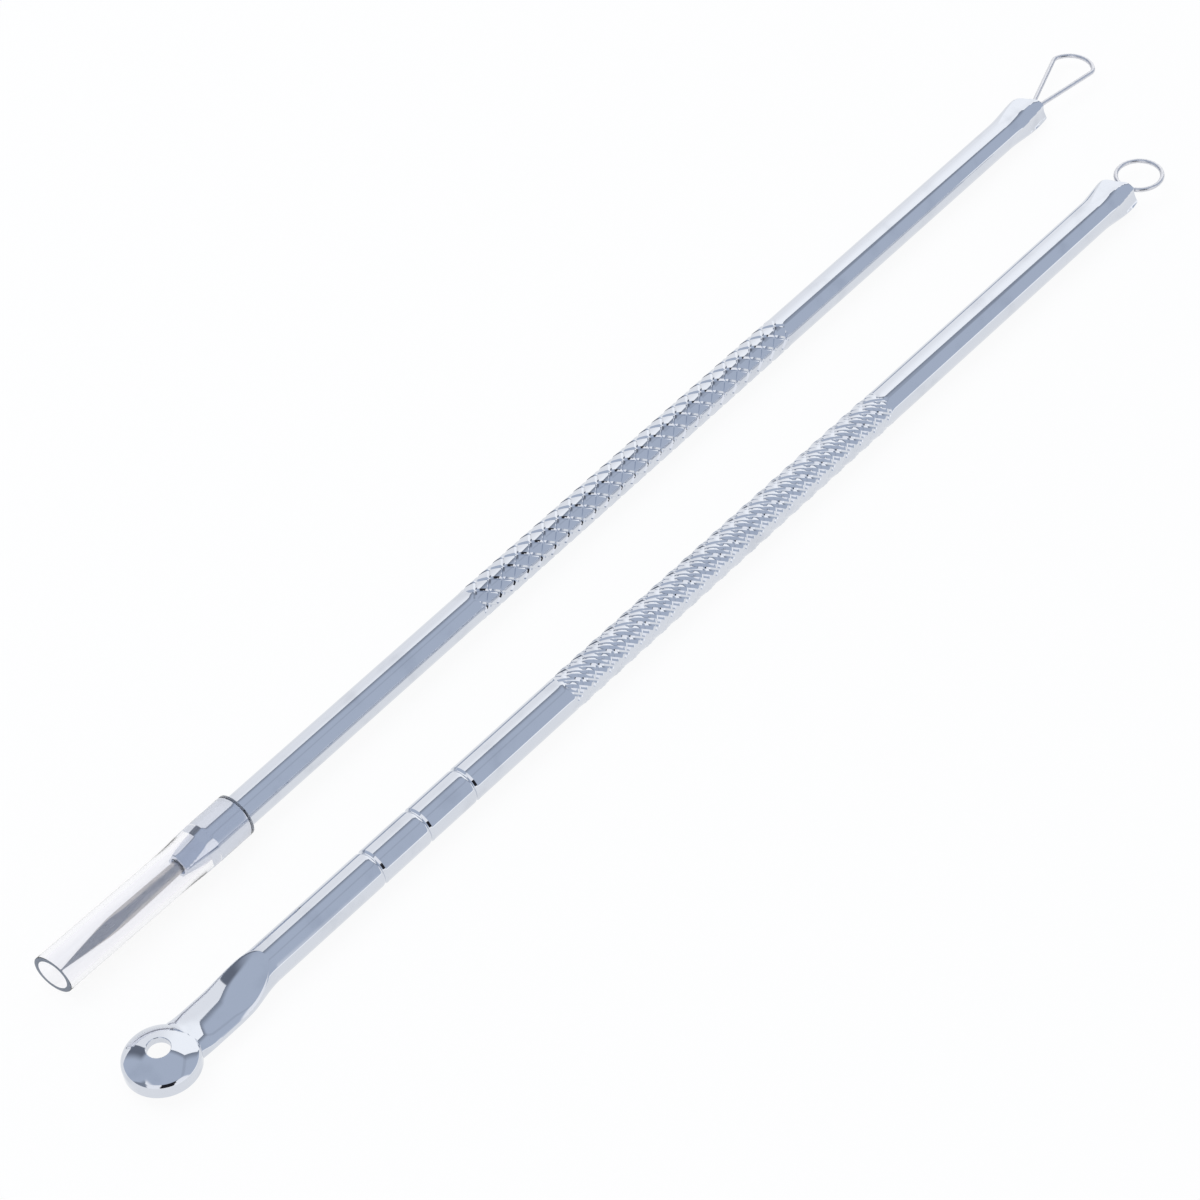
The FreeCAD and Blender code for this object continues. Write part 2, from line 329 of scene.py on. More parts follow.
class Skin:
    # Rings of points joined by strips, with faces that point outwards where the rings run along +X
    def __init__(self):
        self.points = []
        self.faces = []

    def ring(self, points):
        first = len(self.points)
        self.points.extend(tuple(point) for point in points)
        return list(range(first, len(self.points)))

    def strip(self, first, second):
        # Where one ring has more points than the other, triangles share its points out
        firstCount, secondCount = len(first), len(second)
        if firstCount == secondCount:
            for j in range(firstCount):
                k = (j + 1) % firstCount
                self.faces.append([first[j], first[k], second[k], second[j]])
            return
        j = k = 0
        while j < firstCount or k < secondCount:
            here, there = first[j % firstCount], second[k % secondCount]
            if (j + 1) * secondCount <= (k + 1) * firstCount:
                j += 1
                self.faces.append([here, first[j % firstCount], there])
            else:
                k += 1
                self.faces.append([here, second[k % secondCount], there])

    def cover(self, rings, startCap, endCap):
        made = [self.ring(points) for points in rings]
        for first, second in zip(made, made[1:]):
            self.strip(first, second)
        if startCap:
            self.faces.append(made[0][::-1])
        if endCap:
            self.faces.append(made[-1])

    def mesh(self, name):
        made = bpy.data.meshes.new(name)
        made.from_pydata(self.points, [], self.faces)
        return made


def around(x, radius, angles):
    # Points round the tool's axis; an angle counts from straight up towards -Y
    x = np.broadcast_to(np.asarray(x, float), angles.shape)
    return np.stack([x, -radius * np.sin(angles), radius * np.cos(angles)], axis=1)


def ringMesh(name, rings, startCap=True, endCap=True):
    skin = Skin()
    skin.cover(rings, startCap, endCap)
    return skin.mesh(name)


def eased(value):
    value = np.clip(value, 0, 1)
    return value * value * (3 - 2 * value)


def arcPoints(centre, radius, start, end, steps):
    turns = np.radians(np.linspace(start, end, steps + 1))
    return [(centre[0] + radius * math.cos(turn), centre[1] + radius * math.sin(turn)) for turn in turns]


def finished(name, meshes, placement, material, body, node, sharpAngle=16):
    # One piece from its meshes: joined, welded, placed in the frame and put on its body
    shape = bmesh.new()
    for mesh in meshes:
        shape.from_mesh(mesh)
    bmesh.ops.remove_doubles(shape, verts=shape.verts, dist=weldGap)
    shape.transform(placement)
    mesh = bpy.data.meshes.new(name)
    shape.to_mesh(mesh)
    shape.free()
    mesh.shade_smooth()
    mesh.set_sharp_from_angle(angle=math.radians(sharpAngle))
    mesh.materials.clear()
    mesh.materials.append(material)
    piece = bpy.data.objects.new(name, mesh)
    scene.collection.objects.link(piece)
    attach(piece, body)
    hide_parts(node)
    triangles = sum(len(face.vertices) - 2 for face in mesh.polygons)
    print(name + ":", len(mesh.vertices), "points,", triangles, "triangles")


def nodeResult(tree, values, start=None):
    # Runs a Geometry Nodes tree on a carrier object and gives its result as a plain mesh
    carrier = bpy.data.objects.new("carrier", start or bpy.data.meshes.new("carrier"))
    scene.collection.objects.link(carrier)
    modifier = carrier.modifiers.new("nodes", "NODES")
    modifier.node_group = tree
    for item in tree.interface.items_tree:
        if item.item_type == "SOCKET" and item.in_out == "INPUT" and item.name in values:
            modifier[item.identifier] = values[item.name]
    result = bpy.data.meshes.new_from_object(carrier.evaluated_get(bpy.context.evaluated_depsgraph_get()))
    carrier.modifiers.remove(modifier)
    bpy.data.objects.remove(carrier)
    return result


def newTree(name, sizes):
    tree = bpy.data.node_groups.new(name, "GeometryNodeTree")
    tree.interface.new_socket("Geometry", in_out="INPUT", socket_type="NodeSocketGeometry")
    tree.interface.new_socket("Geometry", in_out="OUTPUT", socket_type="NodeSocketGeometry")
    for size, kind in sizes.items():
        tree.interface.new_socket(size, in_out="INPUT", socket_type="NodeSocket" + kind)
    graph = Graph(tree)
    given = graph.node("NodeGroupInput")
    return tree, graph, {size: Wire(graph, given.outputs[size]) for size in ["Geometry", *sizes]}


def endTree(graph, geometry, material):
    real = graph.out("GeometryNodeRealizeInstances", {}, {"Geometry": geometry})
    done = graph.out("GeometryNodeSetMaterial", {}, {"Geometry": real, "Material": material})
    graph.node("NodeGroupOutput", {}, {"Geometry": done})


# Knurl: one diamond tile, repeated round the rod and along it

knurlStarts = 6
tileCells = 8
knurlWeld = 0.001
lancetKnurl = {
    "Length": 38.0,
    "Rod radius": 1.36,
    "Crest": 0.03,
    "Half rows": 48,
    "Groove depth": 0.1,
    "First cell": 0.14,
    "Spread": 1.7,
    "Slope share": 0.14,
    "Roundness": 1.0,
    "Fine depth": 0.0,
    "Fade": 0.7,
}
spoonKnurl = {
    "Length": 38.9,
    "Rod radius": 1.5,
    "Crest": 0.05,
    "Half rows": 44,
    "Groove depth": 0.1,
    "First cell": 0.125,
    "Spread": 1.0,
    "Slope share": 0.5,
    "Roundness": 2.0,
    "Fine depth": 0.028,
    "Fade": 0.7,
}


def knurlTree():
    sizes = {name: "Float" for name in lancetKnurl}
    sizes["Half rows"] = "Int"
    sizes["Material"] = "Material"
    tree, graph, given = newTree("knurl", sizes)
    tileWidth = 2 * math.pi / knurlStarts
    tileLength = given["Length"] / given["Half rows"] * 2
    position = graph.out("GeometryNodeInputPosition")
    x, y, z = graph.parts(position)

    def warped(offset):
        # The first cells lie on the groove's side, and the others share what is left
        inset = 0.5 - abs(offset)
        first = 1 / tileCells
        inner = graph.maths("MAXIMUM", (inset - first) / (0.5 - first), 0.0) ** given["Spread"]
        outer = graph.maths("MINIMUM", inset / first, 1.0) * given["First cell"]
        moved = outer + inner * (0.5 - given["First cell"])
        return moved, graph.maths("SIGN", offset) * (0.5 - moved), inset

    insetU, u, evenU = warped(x)
    insetV, v, _ = warped(y)
    side = graph.maths("MINIMUM", graph.maths("MINIMUM", insetU, insetV) / given["Slope share"], 1.0)
    # Fine lines run across each diamond, in line with two of its sides
    fine = 1 - graph.maths("PINGPONG", evenU, 1 / tileCells) * tileCells
    height = 0 - given["Groove depth"] * (1 - side) ** given["Roundness"] - given["Fine depth"] * fine
    grid = graph.out("GeometryNodeMeshGrid", {}, {
        "Size X": 1.0, "Size Y": 1.0, "Vertices X": tileCells + 1, "Vertices Y": tileCells + 1,
    })
    # The cells are split round the rod, so that a cut through a row is straight
    tile = graph.out("GeometryNodeSetPosition", {}, {
        "Geometry": graph.out("GeometryNodeTriangulate", {"quad_method": "FIXED"}, {"Mesh": grid}),
        "Position": graph.joined((u - v) * tileLength * 0.5, (u + v) * (tileWidth * 0.5), height),
    })

    index = graph.out("GeometryNodeInputIndex")
    row = graph.maths("FLOOR", (index + 0.5) / knurlStarts)
    column = index - row * knurlStarts + graph.maths("MODULO", row, 2.0) * 0.5
    points = graph.out("GeometryNodePoints", {}, {
        "Count": (given["Half rows"] + 1) * knurlStarts,
        "Position": graph.joined(row * tileLength * 0.5, column * tileWidth, 0.0),
    })
    tiles = graph.out("GeometryNodeInstanceOnPoints", {}, {"Points": points, "Instance": tile})
    tiles = graph.out("GeometryNodeRealizeInstances", {}, {"Geometry": tiles})
    beyond = graph.maths("MAXIMUM", x < 0.0, x > given["Length"])
    kept = graph.out("GeometryNodeDeleteGeometry", {"domain": "FACE"}, {
        "Geometry": tiles, "Selection": beyond,
    })

    # The grooves run out at both ends, where the band meets the plain rod
    run = graph.maths("MINIMUM", x, given["Length"] - x)
    fade = graph.ramp(run, 0.0, given["Fade"])
    radius = given["Rod radius"] + (given["Crest"] + z) * fade
    wrapped = graph.out("GeometryNodeSetPosition", {}, {
        "Geometry": kept,
        "Position": graph.joined(x, radius * graph.maths("SINE", y), radius * graph.maths("COSINE", y)),
    })
    welded = graph.out("GeometryNodeMergeByDistance", {}, {"Geometry": wrapped, "Distance": knurlWeld})
    endTree(graph, welded, given["Material"])
    return tree


def tileAngles(knurl):
    # The angles of a row's middle points round the rod, where the plain rod takes over
    inset = np.minimum(np.arange(tileCells), tileCells - np.arange(tileCells)) / tileCells
    first = 1 / tileCells
    inner = np.maximum((inset - first) / (0.5 - first), 0) ** knurl["Spread"]
    moved = np.minimum(inset / first, 1) * knurl["First cell"] + inner * (0.5 - knurl["First cell"])
    share = np.where(np.arange(tileCells) * 2 <= tileCells, moved, 1 - moved)
    turns = (np.arange(knurlStarts)[:, None] + share[None, :] - 0.5).ravel()
    return turns * 2 * math.pi / knurlStarts


def roundAngles(knurl, split=3):
    # Finer angles for the shaped ends, every one of the tile row's among them
    coarse = tileAngles(knurl)
    following = np.append(coarse[1:], coarse[0] + 2 * math.pi)
    steps = np.arange(split) / split
    return (coarse[:, None] + (following - coarse)[:, None] * steps[None, :]).ravel()


knurlNodes = knurlTree()
ringStep = 0.4  # from the knurl's points to the finer ones


def knurlMesh(knurl, start):
    mesh = nodeResult(knurlNodes, dict(knurl, Material=chrome))
    mesh.transform(Matrix.Translation((start, 0, 0)))
    return mesh


# Crimped end: two wings flare out, four dents run in towards the tip

crimp = {
    "roll": 35,
    "farWing": 1.20,
    "nearWing": 1.16,
    "height": 0.82,
    "flareEnd": 0.7,
    "farFall": 0.32,
    "farLeast": 0.3,
    "nearFall": 0.72,
    "flatEnd": 0.75,
    "dents": 4,
    "dentRadius": 1.25,
    "dentDepth": 0.31,
    "dentSpan": 1.2,
    "slantStart": 0.4,
    "tipRound": 0.12,
    "rings": 60,
}


def crimpRadius(t, angles, radius):
    turn = angles - math.radians(crimp["roll"])
    flare = eased(t / crimp["flareEnd"])
    far = 1 + (crimp["farWing"] - 1) * flare
    near = 1 + (crimp["nearWing"] - 1) * flare
    past = t - crimp["flareEnd"]
    if past > 0:
        far *= math.sqrt(max(crimp["farLeast"], 1 - (past / crimp["farFall"]) ** 2))
        near *= math.sqrt(1 - (past / crimp["nearFall"]) ** 2)
    span = np.where(np.sin(turn) > 0, near, far)
    height = 1 + (crimp["height"] - 1) * eased(t / crimp["flatEnd"])
    result = radius / np.sqrt((np.sin(turn) / span) ** 2 + (np.cos(turn) / height) ** 2)
    dentRadius = radius * crimp["dentRadius"]
    centre = radius + dentRadius - radius * crimp["dentDepth"] * t
    for number in range(crimp["dents"]):
        middle = math.radians(crimp["roll"] + 360 * (number + 0.5) / crimp["dents"])
        away = (angles - middle + math.pi) % (2 * math.pi) - math.pi
        inside = dentRadius ** 2 - (centre * np.sin(away)) ** 2
        reach = centre * np.cos(away) - np.sqrt(np.maximum(inside, 0))
        dented = (inside > 0) & (np.abs(away) < crimp["dentSpan"])
        result = np.where(dented, np.minimum(result, reach), result)
    return result


def rearMesh(name, tool, knurl):
    # The end is pinched off aslant, so that the near wing reaches farthest
    coarse, fine = tileAngles(knurl), roundAngles(knurl)
    radius = knurl["Rod radius"]
    start = tool["frontLength"] + knurl["Length"]
    rings = [around(start, radius, coarse), around(start + ringStep, radius, fine)]
    crimpStart = start + tool["rearLength"]
    behind = tool["slant"] * (1 - np.sin(fine - math.radians(crimp["roll"]))) / 2
    for t in np.linspace(0, 1, crimp["rings"] + 1)[:-1]:
        slanted = eased((t - crimp["slantStart"]) / (1 - crimp["slantStart"]))
        x = crimpStart + tool["crimpLength"] * t - behind * slanted
        rings.append(around(x, crimpRadius(t, fine, radius), fine))
    tip = crimpStart + tool["crimpLength"]
    last = crimpRadius(1, fine, radius)
    for turn in np.radians([0, 30, 60, 90]):
        back = crimp["tipRound"] * (1 - math.sin(turn))
        rings.append(around(tip - back - behind, last - crimp["tipRound"] * (1 - math.cos(turn)), fine))
    return ringMesh(name, rings, startCap=False)


# Wire loops: a round wire swept along its path

wire = {"radius": 0.19, "gap": 0.12, "rootDepth": 1.6, "sides": 16}
teardrop = {
    "length": 8.05,
    "width": 4.1,
    "corner": 0.75,
    "crown": 2.08,
    "bend": 0.8,
    "roll": -7,
    "lean": 4.7,
    "sunk": 0.17,
}
ring = {"diameter": 4.24, "bend": 0.5, "roll": -7, "lean": 0, "sunk": 0.3}


def wireTree():
    tree, graph, given = newTree("wireLoop", {"Wire radius": "Float", "Sides": "Int", "Material": "Material"})
    path = graph.out("GeometryNodeMeshToCurve", {}, {"Mesh": given["Geometry"]})
    section = graph.out("GeometryNodeCurvePrimitiveCircle", {}, {
        "Radius": given["Wire radius"], "Resolution": given["Sides"],
    })
    swept = graph.out("GeometryNodeCurveToMesh", {}, {
        "Curve": path, "Profile Curve": section, "Fill Caps": True,
    })
    endTree(graph, swept, given["Material"])
    return tree


def arcBetween(centre, first, last, steps):
    start = math.atan2(first[1] - centre[1], first[0] - centre[0])
    turn = (math.atan2(last[1] - centre[1], last[0] - centre[0]) - start + math.pi) % (2 * math.pi) - math.pi
    radius = math.hypot(first[0] - centre[0], first[1] - centre[1])
    angles = start + turn * np.linspace(0, 1, steps + 1)
    return [(centre[0] + radius * math.cos(angle), centre[1] + radius * math.sin(angle)) for angle in angles]


def loopPath(bend, corner, cornerRadius, crown, crownRadius):
    # Half of the loop, from a leg in the rod's end by a bend and a corner to the crown, and its mirror image
    leg = wire["radius"] + wire["gap"] / 2
    middle = np.array([0, leg + bend])
    gap = np.array(corner) - middle
    turn = math.atan2(gap[1], gap[0]) + math.asin(min(1, (bend + cornerRadius) / np.hypot(*gap)))
    sideways = np.array([-math.sin(turn), math.cos(turn)])
    bendEnd = middle - sideways * bend
    cornerStart = np.array(corner) + sideways * cornerRadius
    far = (crown[0] + crownRadius, 0)
    half = [(-wire["rootDepth"], leg), (-wire["rootDepth"] / 2, leg)]
    half += arcBetween(middle, (0, leg), bendEnd, 8)
    if crown == corner:
        half += arcBetween(corner, cornerStart, far, 40)
    else:
        outward = np.array(corner) - np.array(crown)
        cornerEnd = np.array(corner) + outward / np.hypot(*outward) * cornerRadius
        half += [tuple(bendEnd + (cornerStart - bendEnd) * share) for share in np.linspace(0, 1, 8)[1:-1]]
        half += arcBetween(corner, cornerStart, cornerEnd, 14)[:-1]
        half += arcBetween(crown, cornerEnd, far, 14)
    return half + [(x, -y) for x, y in reversed(half[:-1])]


def loopMesh(path, tip, loop):
    # The loop lies rolled about its rod, leans a little in its own plane and is sunk into the rod's end
    mesh = bpy.data.meshes.new("loopPath")
    points = [(x, y, 0) for x, y in path]
    mesh.from_pydata(points, [(j, j + 1) for j in range(len(points) - 1)], [])
    sizes = {"Wire radius": wire["radius"], "Sides": wire["sides"], "Material": loopSteel}
    swept = nodeResult(wireNodes, sizes, mesh)
    roll = Matrix.Rotation(math.radians(loop["roll"]), 4, "X")
    lean = Matrix.Rotation(math.radians(loop["lean"]), 4, "Z")
    swept.transform(Matrix.Translation((tip - loop["sunk"], 0, 0)) @ (roll @ lean))
    return swept


def teardropPath():
    reach = teardrop["length"] - wire["radius"]
    crown = reach - teardrop["crown"]
    side = teardrop["width"] / 2 - wire["radius"] - teardrop["corner"]
    run = math.sqrt((teardrop["crown"] - teardrop["corner"]) ** 2 - side ** 2)
    return loopPath(teardrop["bend"], (crown + run, side), teardrop["corner"], (crown, 0), teardrop["crown"])


def ringPath():
    radius = ring["diameter"] / 2 - wire["radius"]
    leg = wire["radius"] + wire["gap"] / 2
    reach = math.sqrt((radius + ring["bend"]) ** 2 - (leg + ring["bend"]) ** 2)
    return loopPath(ring["bend"], (reach, 0), radius, (reach, 0), radius)


wireNodes = wireTree()


# Lancet tool

lancet = {
    "frontLength": 31.3,
    "rearLength": 30.2,
    "crimpLength": 5.3,
    "slant": 0.4,
    "noseLength": 2.9,
    "mouthRadius": 1.0,
    "flatHalf": 0.82,
    "flatSpread": 1.414,
    "roll": 28,
    "lipRound": 0.06,
    "flareRadius": 0.68,
    "flareDepth": 0.4,
    "socketRadius": 0.52,
    "socketDepth": 2.4,
}
needle = {
    "shank": 0.5,
    "shankCurve": 1.5,
    "belly": 0.6,
    "reach": 11.65,
    "point": 5.0,
    "pointCurve": 1.25,
    "tip": 0.03,
    "tipFlat": 0.6,
    "root": 2.2,
    "facets": 3,
    "facetAngle": 4.5,
    "facetEdge": 0.2,
}
sleeve = {
    "mouth": -12.15,
    "top": 6.05,
    "bore": 1.25,
    "seat": 1.35,
    "grip": 0.012,
    "wall": 0.38,
    "seatOuter": 1.77,
    "swellStart": -0.9,
    "swellEnd": 2.8,
    "cutAngle": 6,
    "cutReach": 3.0,
    "edgeRound": 0.05,
    "lean": 0.18,
}


def lancetPlacement():
    # The sleeve slides along the tool's axis, and its seat is what the tool lies on
    along = -Vector(joints["sleeve_pull"]["axis"]).normalized()
    across = Vector((0, 1, 0))
    upward = along.cross(across)
    low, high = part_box("lancet_handle")
    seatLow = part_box("needle_sleeve")[0].z
    mouth = Vector((low.x, (low.y + high.y) / 2, seatLow + sleeve["seatOuter"] * millimetre))
    mouth.z -= along.z / along.x * sleeve["top"] * millimetre
    turn = Matrix((along, across, upward)).transposed().to_4x4()
    return Matrix.Translation(mouth) @ turn @ Matrix.Scale(millimetre, 4)


def noseRadius(x, angles):
    share = x / lancet["noseLength"]
    cone = lancet["mouthRadius"] + (lancetKnurl["Rod radius"] - lancet["mouthRadius"]) * share
    flat = lancet["flatHalf"] + (lancet["flatSpread"] - lancet["flatHalf"]) * share
    quarter = math.pi / 2
    away = (angles - math.radians(lancet["roll"]) + quarter / 2) % quarter - quarter / 2
    return np.minimum(cone, flat / np.cos(away))


def lancetFront():
    coarse, fine = tileAngles(lancetKnurl), roundAngles(lancetKnurl)
    mouth = noseRadius(0, fine)
    lip = lancet["lipRound"]
    rings = [around(lancet["socketDepth"], lancet["socketRadius"], fine)]
    rings.append(around(lancet["flareDepth"], lancet["socketRadius"], fine))
    for share in (0.5, 1):
        size = lancet["socketRadius"] + (lancet["flareRadius"] - lancet["socketRadius"]) * share
        rings.append(around(lancet["flareDepth"] * (1 - share), size, fine))
    for turn in np.radians([0, 30, 60, 90]):
        rings.append(around(lip * (1 - math.cos(turn)), mouth - lip * (1 - math.sin(turn)), fine))
    for x in np.linspace(lip, lancet["noseLength"], 30)[1:]:
        rings.append(around(x, noseRadius(x, fine), fine))
    radius = lancetKnurl["Rod radius"]
    rings.append(around(lancet["noseLength"] + 0.1, radius, fine))
    rings.append(around(lancet["frontLength"] - ringStep, radius, fine))
    rings.append(around(lancet["frontLength"], radius, coarse))
    return ringMesh("lancetFront", rings, endCap=False)


def needleMesh():
    angles = np.linspace(0, 2 * math.pi, 96, endpoint=False)
    bellyPlace = needle["point"] - needle["reach"]
    point = np.linspace(-needle["reach"], bellyPlace, 40)
    shank = np.linspace(bellyPlace, needle["root"], 30)
    edge = needle["facetEdge"]
    rings = []
    for x in [*point, *shank[1:]]:
        if x < bellyPlace:
            share = (bellyPlace - x) / needle["point"]
            profile = needle["tip"] + (needle["belly"] - needle["tip"]) * (1 - share ** needle["pointCurve"])
        else:
            share = min(1, (x - bellyPlace) / -bellyPlace)
            profile = needle["belly"] + (needle["shank"] - needle["belly"]) * share ** needle["shankCurve"]
        radius = np.full(angles.shape, profile)
        slope = math.tan(math.radians(needle["facetAngle"]))
        rise = needle["tip"] * needle["tipFlat"] + slope * (x + needle["reach"])
        for number in range(needle["facets"]):
            facing = np.cos(angles - math.radians(lancet["roll"]) - 2 * math.pi * number / needle["facets"])
            radius = np.where(facing > edge, np.minimum(radius, rise / np.maximum(facing, edge)), radius)
        rings.append(around(x, radius, angles))
    return ringMesh("needle", rings)


def sleeveMesh():
    bore, wall, top, mouth = sleeve["bore"], sleeve["wall"], sleeve["top"], sleeve["mouth"]
    edge, outer = sleeve["edgeRound"], sleeve["seatOuter"]
    start, end = sleeve["swellStart"], sleeve["swellEnd"]
    nose = lancet["noseLength"]

    def swell(x):
        return bore + wall + (outer - bore - wall) * float(eased((x - start) / (end - start)))

    def grip(x):
        cone = lancet["mouthRadius"] + (lancetKnurl["Rod radius"] - lancet["mouthRadius"]) * x / nose
        return max(cone - sleeve["grip"], bore)

    # Along the outside from the mouth to the seat, and back along the inside
    outline = arcPoints((mouth + edge, bore + wall - edge), edge, 180, 90, 4)
    outline += [(x, bore + wall) for x in np.linspace(mouth + 0.4, start - 0.3, 24)]
    outline += [(x, swell(x)) for x in np.linspace(start, end, 24)]
    outline += [(x, outer) for x in np.linspace(end + 0.3, top - 0.3, 6)]
    outline += arcPoints((top - edge, outer - edge), edge, 90, 0, 4)
    outline += [(top, sleeve["seat"])]
    outline += [(x, sleeve["seat"]) for x in np.linspace(top - 0.2, nose - 0.1, 8)]
    outline += [(x, grip(x)) for x in np.linspace(nose - 0.3, start + 0.3, 24)]
    outline += [(x, bore) for x in np.linspace(start, mouth + 0.3, 24)]
    outline += [(mouth, bore)]
    angles = np.linspace(0, 2 * math.pi, 128, endpoint=False)
    shear = math.tan(math.radians(sleeve["cutAngle"]))
    skin = Skin()
    made = []
    for x, radius in outline:
        points = around(x, radius, angles)
        points[:, 0] -= points[:, 1] * shear * max(0.0, 1 - (x - mouth) / sleeve["cutReach"])
        points[:, 1] += sleeve["lean"] * max(0.0, x / mouth)
        made.append(skin.ring(points))
    for first, second in zip(made, made[1:] + made[:1]):
        skin.strip(first, second)
    return skin.mesh("sleeve")


lancetPlace = lancetPlacement()
lancetTip = lancet["frontLength"] + lancetKnurl["Length"] + lancet["rearLength"] + lancet["crimpLength"]
lancetRear = rearMesh("lancetRear", lancet, lancetKnurl)
lancetMeshes = [lancetFront(), knurlMesh(lancetKnurl, lancet["frontLength"]), lancetRear]
finished("lancetHandle", lancetMeshes, lancetPlace, chrome, "lancet_tool", "lancet_handle")
finished("lancetNeedle", [needleMesh()], lancetPlace, needleSteel,
         "lancet_tool", "lancet_needle", 8)
finished("teardropLoop", [loopMesh(teardropPath(), lancetTip, teardrop)], lancetPlace, loopSteel,
         "lancet_tool", "teardrop_loop", 40)
finished("needleSleeve", [sleeveMesh()], lancetPlace, clearSleeve,
         "sleeve", "needle_sleeve", 40)


# Spoon tool

spoon = {
    "frontLength": 41.1,
    "rearLength": 28.4,
    "crimpLength": 4.7,
    "slant": 0.6,
    "grooves": (20.95, 25.8, 30.65),
    "grooveDepth": 0.12,
    "grooveNear": 0.34,
    "grooveFar": 0.17,
    "shoulder": 10.0,
    "foot": 5.7,
    "footHeight": 0.45,
    "flatRise": 0.4,
    "dieCrown": 3.2,
    "bulgeStart": 10.2,
    "bulgeEnd": 6.8,
    "neckHalf": 1.86,
    "neckSide": 0.09,
    "ovalDrop": 0.4,
    "dropStart": 9.0,
    "edgeCrisp": 0.02,
    "edgeSoft": 0.3,
    "filletRise": 0.25,
    "filletStart": 3.5,
    "filletEnd": 2.2,
    "rootAt": 2.6,
    "rootLeast": 0.3,
    "rootEnd": 3.4,
}
cup = {
    "floor": -0.88,
    "radius": 2.8,
    "height": 2.08,
    "rimHeight": 0.75,
    "knuckle": 0.6,
    "wall": 0.5,
    "hole": 0.86,
    "rimRound": 0.1,
    "holeRound": 0.05,
    "roll": -6.5,
    "ahead": 0.12,
    "aside": 0.07,
    "lift": 0.24,
}


def spoonPlacement():
    hole, eye = mounts["cup_hole"], mounts["ring_eye"]
    along = eye - hole
    turn = Matrix.Rotation(math.atan2(along.y, along.x), 4, "Z")
    place = Vector((hole.x, hole.y, mounts["cup_rim"].z - cup["floor"] * millimetre))
    return Matrix.Translation(place) @ turn @ Matrix.Scale(millimetre, 4)


def domeSizes():
    rise = cup["height"] - cup["rimHeight"]
    knuckleAt = cup["radius"] - cup["knuckle"]
    crown = (knuckleAt ** 2 + rise ** 2 - cup["knuckle"] ** 2) / (2 * (rise - cup["knuckle"]))
    crownAt = cup["floor"] + cup["height"] - crown
    depth, mouth = cup["height"] - cup["wall"], cup["radius"] - cup["wall"]
    hollow = (mouth ** 2 + depth ** 2) / (2 * depth)
    return knuckleAt, crown, crownAt, hollow, cup["floor"] + depth - hollow


def cupMesh():
    # The dished cup, turned about Z: rim, knuckle, crown, hole, hollow
    knuckleAt, crown, crownAt, hollow, hollowAt = domeSizes()
    floor, rim, hole = cup["floor"], cup["rimRound"], cup["holeRound"]
    knuckleUp = floor + cup["rimHeight"]
    blend = math.degrees(math.atan2(knuckleUp - crownAt, knuckleAt))
    outline = arcPoints((cup["radius"] - rim, floor + rim), rim, -90, 0, 6)
    outline += arcPoints((knuckleAt, knuckleUp), cup["knuckle"], 0, blend, 22)
    holeTop = math.degrees(math.acos((cup["hole"] + hole) / crown))
    outline += arcPoints((0, crownAt), crown, blend, holeTop, 14)[1:]
    top = crownAt + math.sqrt(crown ** 2 - (cup["hole"] + hole) ** 2)
    outline += arcPoints((cup["hole"] + hole, top - hole), hole, 90, 180, 5)[1:]
    inner = hollowAt + math.sqrt(hollow ** 2 - cup["hole"] ** 2)
    outline.append((cup["hole"], inner))
    first = math.degrees(math.atan2(inner - hollowAt, cup["hole"]))
    last = math.degrees(math.asin((floor + 0.001 - hollowAt) / hollow))
    outline += arcPoints((0, hollowAt), hollow, first, last, 20)[1:]
    turns = np.linspace(0, 2 * math.pi, 160, endpoint=False)
    skin = Skin()
    made = [skin.ring([(r * math.cos(a), r * math.sin(a), z) for a in turns]) for r, z in outline]
    for below, above in zip(made, made[1:] + made[:1]):
        skin.strip(above, below)
    mesh = skin.mesh("cup")
    turn = Matrix.Rotation(math.radians(cup["roll"]), 4, "X")
    mesh.transform(Matrix.Translation((-cup["ahead"], -cup["aside"], cup["lift"])) @ turn)
    return mesh


def wallMiddle(z):
    # How far from the cup's axis the middle of its wall is, at a height
    knuckleAt, crown, crownAt, hollow, hollowAt = domeSizes()
    z -= cup["lift"]
    above = z - cup["floor"] - cup["rimHeight"]
    if z < cup["floor"]:
        return cup["radius"] - cup["wall"] / 2
    blend = math.atan2(cup["floor"] + cup["rimHeight"] - crownAt, knuckleAt)
    if above <= 0:
        outer = cup["radius"]
    elif above < cup["knuckle"] * math.sin(blend):
        outer = knuckleAt + math.sqrt(cup["knuckle"] ** 2 - above ** 2)
    else:
        outer = math.sqrt(max(crown ** 2 - (z - crownAt) ** 2, 0))
    inner = math.sqrt(max(hollow ** 2 - (z - hollowAt) ** 2, 0))
    return (max(inner, cup["hole"]) + outer) / 2


def neckBulge(x):
    return eased((spoon["bulgeStart"] - x) / (spoon["bulgeStart"] - spoon["bulgeEnd"]))


